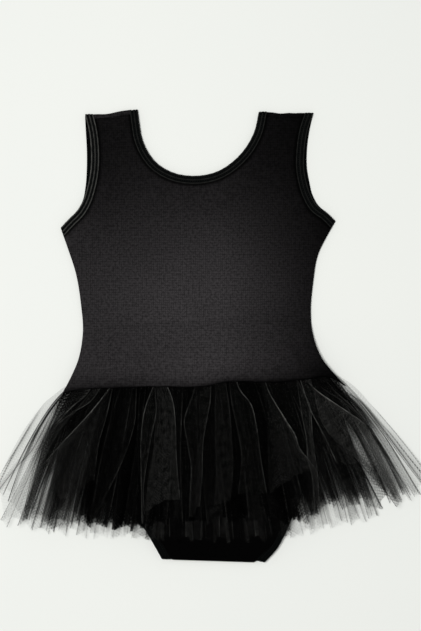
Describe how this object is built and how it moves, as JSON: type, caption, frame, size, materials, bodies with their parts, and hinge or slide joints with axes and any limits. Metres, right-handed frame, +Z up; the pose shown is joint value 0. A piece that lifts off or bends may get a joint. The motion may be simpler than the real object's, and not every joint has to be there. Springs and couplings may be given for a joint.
{
  "type": "ballet tutu",
  "caption": "Child's sleeveless black ballet leotard with a gathered, layered net skirt, laid flat on its back.",
  "frame": {"origin": "on the surface the garment lies on, under the middle of its bounding box", "axes": "+Z up from the surface, through the front; +Y towards the neck; +X to the viewer's right, which is the wearer's left"},
  "size_m": [0.459, 0.475, 0.0311],
  "materials": {
    "jersey": "black stretch cotton jersey, soft sheen",
    "binding": "folded jersey binding with twin-needle stitching",
    "tulle": "sheer black nylon net"
  },
  "bodies": {
    "root": {"bodice_front": "jersey", "bodice_back": "jersey", "neck_binding": "binding", "arm_binding_left": "binding", "arm_binding_right": "binding", "briefs_front": "jersey", "briefs_back": "jersey", "leg_binding_left": "binding", "leg_binding_right": "binding", "tulle_top": "tulle", "tulle_middle": "tulle", "tulle_under": "tulle"}
  },
  "joints": []
}
